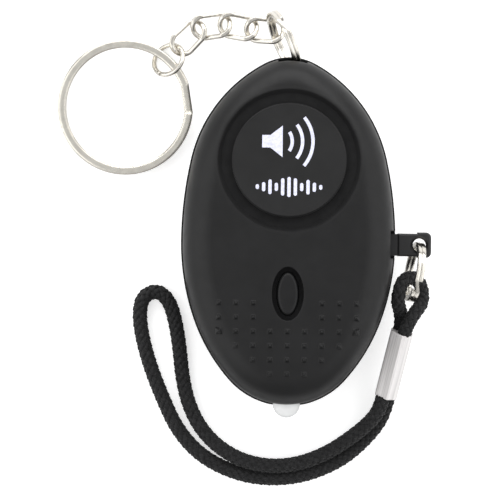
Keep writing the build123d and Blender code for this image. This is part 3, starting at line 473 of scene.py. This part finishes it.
low_end = CRIMP_TOP - loop_shift
high_end = CRIMP_TOP + loop_shift
loop_exit = crimp_axis * LOOP_LEAD
loop_route = [low_end, low_end - loop_exit, *LOOP_POINTS, high_end - loop_exit, high_end]
loop = braided("braided_ring_loop", loop_route, LOOP_DIAMETER)[0]
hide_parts("ring_loop")
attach(loop, "pin")

# Generic print on the disc: a horn with sound arcs, and a row of level bars
tilt = math.asin(SPEAKER_OFFSET / CROWN_RADIUS)
face_height = CASE_THICKNESS - CROWN_RADIUS + math.sqrt(CROWN_RADIUS**2 - SPEAKER_OFFSET**2)


def on_disc(x, y, lift):
    """A point of the disc's face, lift millimetres above it."""
    return tuple(Vector((
        x,
        SPEAKER_OFFSET + y * math.cos(tilt) + (DISC_PROUD + lift) * math.sin(tilt),
        face_height - y * math.sin(tilt) + (DISC_PROUD + lift) * math.cos(tilt))) * MM)


def printed(name, outlines):
    """Thin raised print from closed outlines on the disc."""
    vertices, faces = [], []
    for outline in outlines:
        first, count = len(vertices), len(outline)
        vertices += [on_disc(x, y, -INK_SINK) for x, y in outline]
        vertices += [on_disc(x, y, INK_HEIGHT) for x, y in outline]
        faces.append(tuple(first + count + k for k in range(count)))
        faces.append(tuple(first + k for k in reversed(range(count))))
        for k in range(count):
            j = (k + 1) % count
            faces.append((first + k, first + j, first + count + j, first + count + k))
    made = add_mesh(name, vertices, faces, ink)
    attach(made, "case")


def arc_band(radius, half_angle):
    """Outline of a curved band to the right of the horn, its half angle in degrees."""
    angles = [math.radians(-half_angle + 2 * half_angle * k / (ARC_POINTS - 1))
              for k in range(ARC_POINTS)]
    outside, inside = [
        [(HORN_X + reach * math.cos(a), HORN_Y + reach * math.sin(a)) for a in angles]
        for reach in (radius + LINE_WIDTH / 2, radius - LINE_WIDTH / 2)]
    return outside + inside[::-1]


def level_bar(x, height):
    """Outline of an upright bar with round ends."""
    half = LINE_WIDTH / 2
    end = height / 2 - half
    return [(x + half * math.cos(a), BAR_Y + shift + half * math.sin(a))
            for start, shift in ((0.0, end), (math.pi, -end))
            for a in [start + math.pi * k / BAR_END_STEPS for k in range(BAR_END_STEPS + 1)]]


printed("print_horn", [[(HORN_X + x, HORN_Y + y) for x, y in HORN],
                       *(arc_band(radius, half) for radius, half in ARCS)])
printed("print_bars", [level_bar((number - len(BAR_HEIGHTS) // 2) * BAR_PITCH, height)
                       for number, height in enumerate(BAR_HEIGHTS)])

# Camera
camera_data = bpy.data.cameras.new("camera")
camera_data.sensor_width = SENSOR_WIDTH
camera_data.lens = SENSOR_WIDTH * (VIEW_HEIGHT - VIEW_LEVEL) / VIEW_WIDTH
camera_data.clip_start = CLIP_NEAR
camera_data.clip_end = CLIP_FAR
camera = add_object("camera", camera_data)
camera.location = (VIEW_CENTRE[0] * MM, VIEW_CENTRE[1] * MM, VIEW_HEIGHT * MM)
camera.rotation_euler = (0.0, 0.0, math.radians(VIEW_ROLL))
bpy.context.scene.camera = camera

# Pale floor that glows for the camera and behind clear parts, and less in reflections
floor_shader = Shader("floor_white", (0.80, 0.80, 0.80), 0.9, sockets={"Emission Color": WHITE})
rays = floor_shader.node("ShaderNodeLightPath")
seen = floor_shader.node("ShaderNodeMath", operation="MAXIMUM")
mirrored = floor_shader.node("ShaderNodeMath", {1: MIRRORED_GLOW}, operation="MULTIPLY")
glow = floor_shader.node("ShaderNodeMath", {1: FLOOR_GLOW}, operation="MULTIPLY_ADD")
floor_shader.link(rays.outputs["Is Camera Ray"], seen.inputs[0])
floor_shader.link(rays.outputs["Is Transmission Ray"], seen.inputs[1])
floor_shader.link(rays.outputs["Is Glossy Ray"], mirrored.inputs[0])
floor_shader.link(seen.outputs[0], glow.inputs[0])
floor_shader.link(mirrored.outputs[0], glow.inputs[2])
floor_shader.link(glow.outputs[0], floor_shader.bsdf.inputs["Emission Strength"])
corners = [(-FLOOR_HALF, -FLOOR_HALF, 0), (FLOOR_HALF, -FLOOR_HALF, 0),
           (FLOOR_HALF, FLOOR_HALF, 0), (-FLOOR_HALF, FLOOR_HALF, 0)]
add_mesh("floor", corners, [(0, 1, 2, 3)], floor_shader.material)

# Sky: white, brighter from the horizon up
world = bpy.data.worlds.new("studio")
bpy.context.scene.world = world
world.use_nodes = True
sky = world.node_tree
background = sky.nodes["Background"]
background.inputs["Color"].default_value = WHITE
direction = sky.nodes.new("ShaderNodeTexCoord")
parts = sky.nodes.new("ShaderNodeSeparateXYZ")
climb = sky.nodes.new("ShaderNodeMapRange")
climb.interpolation_type = "SMOOTHSTEP"
climb.inputs["From Min"].default_value = HORIZON
climb.inputs["From Max"].default_value = SKY_FULL
climb.inputs["To Min"].default_value = SKY_LOW
climb.inputs["To Max"].default_value = SKY_HIGH
sky.links.new(direction.outputs["Generated"], parts.inputs["Vector"])
sky.links.new(parts.outputs["Z"], climb.inputs["Value"])
sky.links.new(climb.outputs["Result"], background.inputs["Strength"])

# Soft lamps that look at the object
for name, place, size, power in LAMPS:
    data = bpy.data.lights.new(name, "AREA")
    data.shape = "RECTANGLE"
    data.size, data.size_y = size
    data.energy = power
    lamp = add_object(name, data)
    lamp.location = place
    lamp.rotation_euler = (LAMP_TARGET - Vector(place)).to_track_quat("-Z", "Y").to_euler()

bpy.context.scene.view_settings.view_transform = "Standard"
